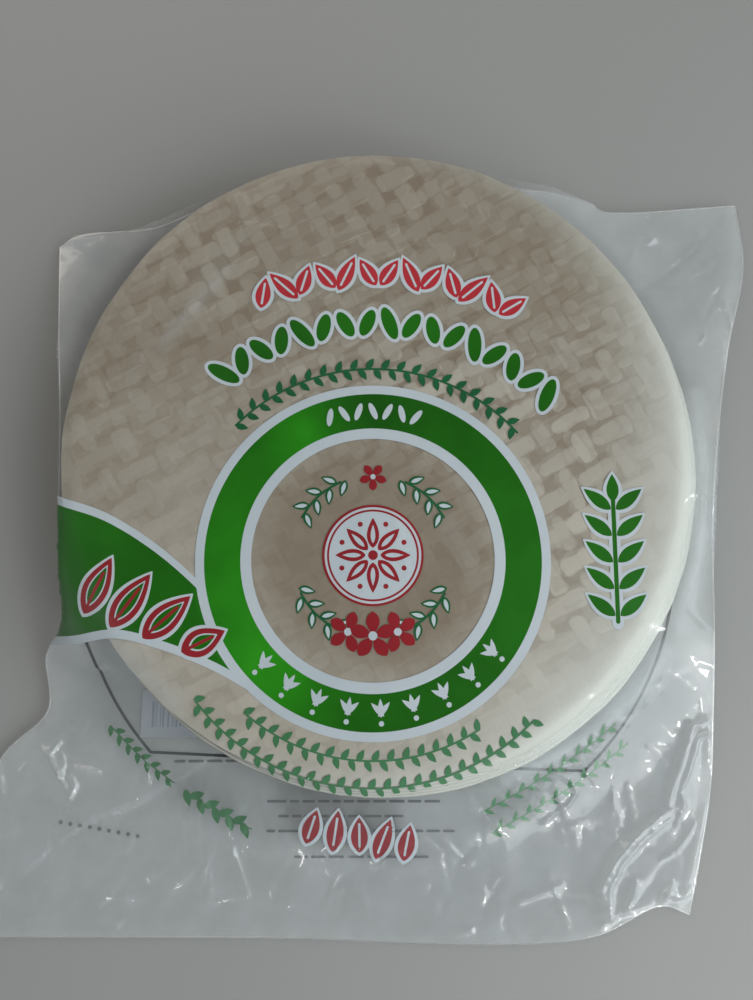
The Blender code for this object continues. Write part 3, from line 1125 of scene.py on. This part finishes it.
SHEETS = 40
SHEET_THICKNESS = 0.35
SHEET_PITCH = STACK_HEIGHT / SHEETS
SHEET_CELL = 0.68
SHEET_JOG = 0.55
# The drying mat's weave: its strips, and how long they float over the others
MAT_PITCH = 10.8
MAT_TURN = 28.0
STRIP_WIDTH = 5.7
STRIP_CORNER = 2.1
FLOAT_LENGTHS = (16.2, 13.8)
# Each float takes one of this many sets of random values
CHANCES = 997
# How far in from a float's edge the raised lip and its painted highlight reach
LIP_REACH = 0.5
RELIEF = 0.08
TOP_SWAY = 0.06
DOME_DROP = 0.4
DOME_WIDTH = 16.0


def mat_print(points, degrees, shift, seed):
    """The print of a woven mat: how far inside the nearest float each place is, and its tone."""
    wobble = np.column_stack((value_noise(points, 23.0, seed), value_noise(points, 23.0, seed + 1)))
    place = (turned(points, -degrees) + np.array(shift) + 1.1 * wobble) / MAT_PITCH
    chance = np.random.default_rng(seed).uniform(-1.0, 1.0, (4, CHANCES))
    inside = np.full(len(points), -9.0)
    tone = np.zeros(len(points))
    ways = ((place[:, 0], place[:, 1], 0), (place[:, 1], place[:, 0], 1))
    for (along, across, parity), length in zip(ways, FLOAT_LENGTHS):
        strip = np.round(across)
        middle = 2.0 * np.round((along - strip - parity) / 2.0) + strip + parity
        key = (strip * 31 + middle * 17 + parity * 101).astype(int) % CHANCES
        half_length = length / 2 + 1.2 * chance[0, key]
        slope = 0.25 * chance[3, key] * (along - middle)
        half_width = STRIP_WIDTH / 2 + 0.4 * chance[1, key] + slope
        over = np.abs(along - middle) * MAT_PITCH - half_length + STRIP_CORNER
        off = np.abs(across - strip) * MAT_PITCH - half_width + STRIP_CORNER
        corner = np.hypot(np.maximum(over, 0.0), np.maximum(off, 0.0))
        found = STRIP_CORNER - corner - np.minimum(np.maximum(over, off), 0.0)
        higher = found > inside
        inside = np.where(higher, found, inside)
        tone = np.where(higher, 1.0 + 0.35 * chance[2, key], tone)
    inside += layered_noise(points, (0.45, 3.4, seed + 2), (0.25, 1.6, seed + 3))
    return np.clip(inside, -2.0, 3.0), tone


def sheet_edge(seed):
    """A sheet's round edge, a little uneven."""
    turns = np.radians(np.arange(0.0, 360.0, 0.5))
    ring = np.column_stack((np.cos(turns), np.sin(turns))) * SHEET_RADIUS * SHEET_OVAL
    ragged = layered_noise(ring, (0.28, 14.0, seed), (0.14, 4.0, seed + 1))
    return ring * (1.0 + ragged[:, None] / SHEET_RADIUS)


def in_ring(points):
    """1 in the middle of the ring, and 0 at its outer edge."""
    return 1.0 - smoothstep(np.hypot(*(points - RING_CENTRE).T), 25.0, 56.0)


def print_strength(points):
    """How strongly the mat's print shows: it fades in patches, and towards the slack end."""
    patches = 0.80 + 0.35 * value_noise(points, 42.0, 21)
    patches *= (1.0 - rim_paleness_and_light(points)) * (1.0 - 0.45 * in_ring(points))
    return patches * (0.55 + 0.45 * smoothstep(points[:, 1] + 0.5 * points[:, 0], -80.0, 10.0))


# How each layer of the mat's print lies: its turn, shift, seed and strength
LAYER_PLACES = (
    (0.0, (0.0, 0.0), 11, 0.23),
    (4.0, (4.7, 3.2), 13, 0.14),
    (-5.0, (-2.9, 6.4), 15, 0.09),
)


def print_values(points):
    """What the paper's material needs of the top sheet's own print and of those below it."""
    strength = print_strength(points)
    values = {}
    for name, (turn, shift, seed, share) in zip(MAT_LAYERS, LAYER_PLACES):
        inside, tone = mat_print(points, MAT_TURN + turn, shift, seed)
        values[name + "_edge"] = inside
        values[name + "_gain"] = share * tone * strength
    cloud = layered_noise(points, (0.07, 31.0, 22), (0.05, 12.0, 23))
    # Painted light and shade: the paper is lighter towards the flap and darker towards the top, and
    # darker still at the far upper left corner.
    painted_light_towards_flap = 0.34 * np.clip(-points[:, 1] / SHEET_RADIUS, -1.0, 0.45)
    painted_shade_far_corner = 0.42 * np.clip(points @ np.array((-0.35, 0.93)) / SHEET_RADIUS, 0.0, 1.0) ** 2
    tone = 0.34 - 0.25 * strength + cloud + painted_light_towards_flap
    values["tone"] = tone - painted_shade_far_corner - 0.42 * in_ring(points)
    values["pressed"] = 0.35 * strength
    # The edges of the top print's floats that face the window at the lower right get a raised lip
    # and a painted highlight, broken up in places.
    beside = points + LIP_REACH * np.array((0.77, -0.64))
    beyond = mat_print(beside, MAT_TURN, *LAYER_PLACES[0][1:3])[0]
    torn = smoothstep(value_noise(points, 5.0, 24), -0.5, 0.4)
    values["lip_and_highlight"] = np.clip((values["first_edge"] - beyond) / LIP_REACH, 0.0, 1.0) * torn * strength
    return values


def slid_and_lit_side(points):
    """1 at the side where the sheets have slid apart and where the window's light is painted in,
    and 0 at the other side.
    """
    radius = np.maximum(np.hypot(points[:, 0], points[:, 1]), 1.0)
    return np.clip(0.56 + 0.5 * (points @ np.array((0.90, -0.44))) / radius, 0.0, 1.0)


def rim_paleness_and_light(points):
    """The rim is paler where the sheets have slid apart, so that few of them overlap, and paler
    still with painted light from the window at the lower right.
    """
    towards = slid_and_lit_side(points)
    width = 5.0 + 31.0 * towards**3
    share = np.clip(1.0 + beyond_rim(points) / width, 0.0, 1.0)
    return share**1.5 * (0.12 + 0.60 * towards**2.5)


def dome(points):
    """The outer part of a sheet hangs a little, and bends down at its rim."""
    away = beyond_rim(points)
    return -DOME_DROP * smoothstep(away, -DOME_WIDTH, 6.0) - rim_drop(away)


def add_top_sheet(paper):
    edge = sheet_edge(60)
    spread = honeycomb((-112.0, -114.0), (112.0, 114.0), SHEET_CELL)
    spread = spread[beyond_rim(spread) < -1.2]
    inner = edge * (1.0 - 0.55 / SHEET_RADIUS)
    flat, faces = flat_mesh([edge, inner], [], spread)
    keep = inside_loop(flat[faces].mean(axis=1), edge)
    flat, faces = only(flat, faces[keep])
    values = print_values(flat)
    inside = values["first_edge"]
    lifted = smoothstep(inside, -0.45, 0.45) + 0.10 * np.clip(inside, 0.0, 2.5)
    flatter = 1.0 - smoothstep(beyond_rim(flat), -5.0, -1.0)
    relief = RELIEF * (1.25 - lifted) * print_strength(flat) * flatter
    sway = TOP_SWAY * value_noise(flat, 34.0, 31) * flatter
    height = STACK_HEIGHT - TOP_SWAY - relief + sway + dome(flat)
    points = np.column_stack((flat, height))
    values["rim"] = rim_paleness_and_light(flat)
    add_piece("rice_paper_top", points, faces, paper, "rice_paper", **values)


def sheet_shift(index):
    """Where a sheet's middle lies: the upper ones have slid back from those below."""
    rng = np.random.default_rng(500 + index)
    jog = rng.uniform(-SHEET_JOG, SHEET_JOG, 2)
    slid = np.array(SLID_SHIFT)
    if index < SLID_SHEETS:
        return slid * (index / SLID_SHEETS) + jog * 0.3
    share = (index - SLID_SHEETS) / (SHEETS - SLID_SHEETS)
    middle = np.array((0.6, -0.4))
    base = np.array(BASE_SHIFT) * 0.8
    if share < 0.4:
        return slid + (middle - slid) * share / 0.4 + jog
    return middle + (base - middle) * (share - 0.4) / 0.6 + jog


# A sheet's outer part, over its top, round its edge and back under it: inset and drop
SHEET_PROFILE = (
    (14, 0), (7, 0), (3.6, 0), (1.8, 0.02), (0.5, 0.05), (0, 0.17), (0.5, 0.32),
    (14, SHEET_THICKNESS),
)


def sheet_ring(index):
    """The outer part of a sheet under the top one, with its thin uneven edge."""
    edge = sheet_edge(70 + 2 * index)[::3]
    top = STACK_HEIGHT - SHEET_PITCH * index - 0.12
    rows = []
    for inset, drop in SHEET_PROFILE:
        ring = edge * (1.0 - inset / SHEET_RADIUS)
        sway = 0.10 * value_noise(edge, 26.0, 300 + index) * (1.0 - inset / 14.0)
        hang = dome(ring) * max(0.0, 1.0 - index / 26.0)
        rows.append(np.column_stack((ring + sheet_shift(index), top - drop + sway + hang)))
    return rows


def join_rows(rows, start):
    """Faces between closed rows of points, each with as many points as the next."""
    count = len(rows[0])
    faces = []
    for row in range(len(rows) - 1):
        for i in range(count):
            j = (i + 1) % count
            a, b = start + row * count, start + (row + 1) * count
            faces.append((a + i, b + i, b + j, a + j))
    return faces


def add_lower_sheets(paper):
    points = []
    faces = []
    for index in range(1, SHEETS):
        rows = sheet_ring(index)
        faces.extend(join_rows(rows, sum(len(p) for p in points)))
        points.extend(rows)
    points = np.concatenate(points)
    tone = 0.42 + 0.12 * value_noise(points + points[:, 2:3] * 7.0, 6.0, 40)
    # Paler rims on the slid side of the stack, partly painted light from the window
    rim = 0.30 + 0.40 * slid_and_lit_side(points[:, :2]) ** 2
    add_piece("rice_paper_sheets", points, faces, paper, "rice_paper", tone=tone, rim=rim)


CORE_CENTRE = (1.7, -1.8)
CORE_PROFILE = ((60, 0.5), (101, 0.5), (103, 2), (103, 20.5), (101, 22.6), (60, 22.8))


def add_core(paper):
    """The middle of the stack, which the sheets' rims hide."""
    turns = np.arange(0.0, 360.0, 3.0)
    rows = []
    for radius, height in CORE_PROFILE:
        rows.append(np.array([(*polar(CORE_CENTRE, radius, t), height) for t in turns]))
    points = np.concatenate(rows)
    faces = join_rows(rows, 0)
    count = len(turns)
    last = len(points) - count
    faces.append(tuple(range(count - 1, -1, -1)))
    faces.append(tuple(range(last, last + count)))
    even = np.full(len(points), 0.5)
    add_piece("rice_paper_core", points, faces, paper, "rice_paper", tone=even, rim=even)


# ---- floor, light, camera

LIT_PLACE = Vector((0.0, 0.0, 0.01))
# Small bright panes for the film's creases to mirror: direction, rise and power
PANES = (
    (-62, 28, 0.25),
    (-40, 38, 0.25),
    (-24, 20, 0.25),
    (2, 30, 0.25),
    (-104, 36, 0.08),
)
PANE_DISTANCE = 0.6
PANE_SIZE = (0.009, 0.14)


def add_floor():
    data = bpy.data.meshes.new("floor")
    size = 3.0
    corners = [(-size, -size, 0.0), (size, -size, 0.0), (size, size, 0.0), (-size, size, 0.0)]
    data.from_pydata(corners, [], [(0, 1, 2, 3)])
    data.materials.append(floor_material())
    floor = place_in_scene("floor", data)


def add_light(name, place, size, power, colour):
    data = bpy.data.lights.new(name, "AREA")
    data.shape = "RECTANGLE"
    data.size, data.size_y = size
    data.energy = power
    data.color = colour
    light = place_in_scene(name, data)
    light.location = place
    light.rotation_euler = (LIT_PLACE - Vector(place)).to_track_quat("-Z", "Y").to_euler()


def add_lights():
    """A large window at the right, its bright panes, and the room's pale sides."""
    add_light("window", (1.55, -0.62, 1.00), (3.2, 1.8), 39.0, (0.92, 0.99, 1.0))
    for index, (turn, rise, power) in enumerate(PANES):
        level = PANE_DISTANCE * math.cos(math.radians(rise))
        up = PANE_DISTANCE * math.sin(math.radians(rise))
        place = (*polar((0.0, 0.0), level, turn), up)
        add_light(f"pane_{index}", place, PANE_SIZE, power, (1.0, 1.0, 1.0))
    add_light("left_wall", (-1.30, 0.10, 0.90), (2.2, 1.6), 2.6, (1.0, 0.98, 0.94))
    add_light("room_side", (-0.35, 0.75, 0.55), (0.8, 0.5), 2.2, (1.0, 0.90, 0.80))


def add_world():
    """Soft room light, dim straight above and lighter towards the horizon."""
    n = Nodes(bpy.data.worlds.new("room"), "ShaderNodeOutputWorld")
    place = n.add("ShaderNodeTexCoord").outputs["Generated"]
    up = n.add("ShaderNodeSeparateXYZ", {0: place}).outputs["Z"]
    colour = n.ramp(up, (0.25, (0.30, 0.31, 0.32)), (0.95, (0.045, 0.044, 0.042)))
    light = n.add("ShaderNodeBackground", {"Color": colour, "Strength": 0.8})
    bpy.context.scene.world = n.finish(light.outputs[0])


def add_camera():
    data = bpy.data.cameras.new("camera")
    data.lens = 27.07
    data.sensor_width = 36.0
    data.clip_start = 0.01
    camera = place_in_scene("camera", data)
    camera.location = (0.0005, -0.0527, 0.280)
    camera.rotation_euler = (math.radians(8.0), 0.0, 0.0)
    bpy.context.scene.camera = camera


def main():
    bpy.context.scene.view_settings.view_transform = "Standard"
    bag = Bag()
    paper = paper_material()
    add_films(bag)
    add_weld(bag)
    add_top_sheet(paper)
    add_lower_sheets(paper)
    add_core(paper)
    add_floor()
    add_world()
    add_lights()
    add_camera()


main()
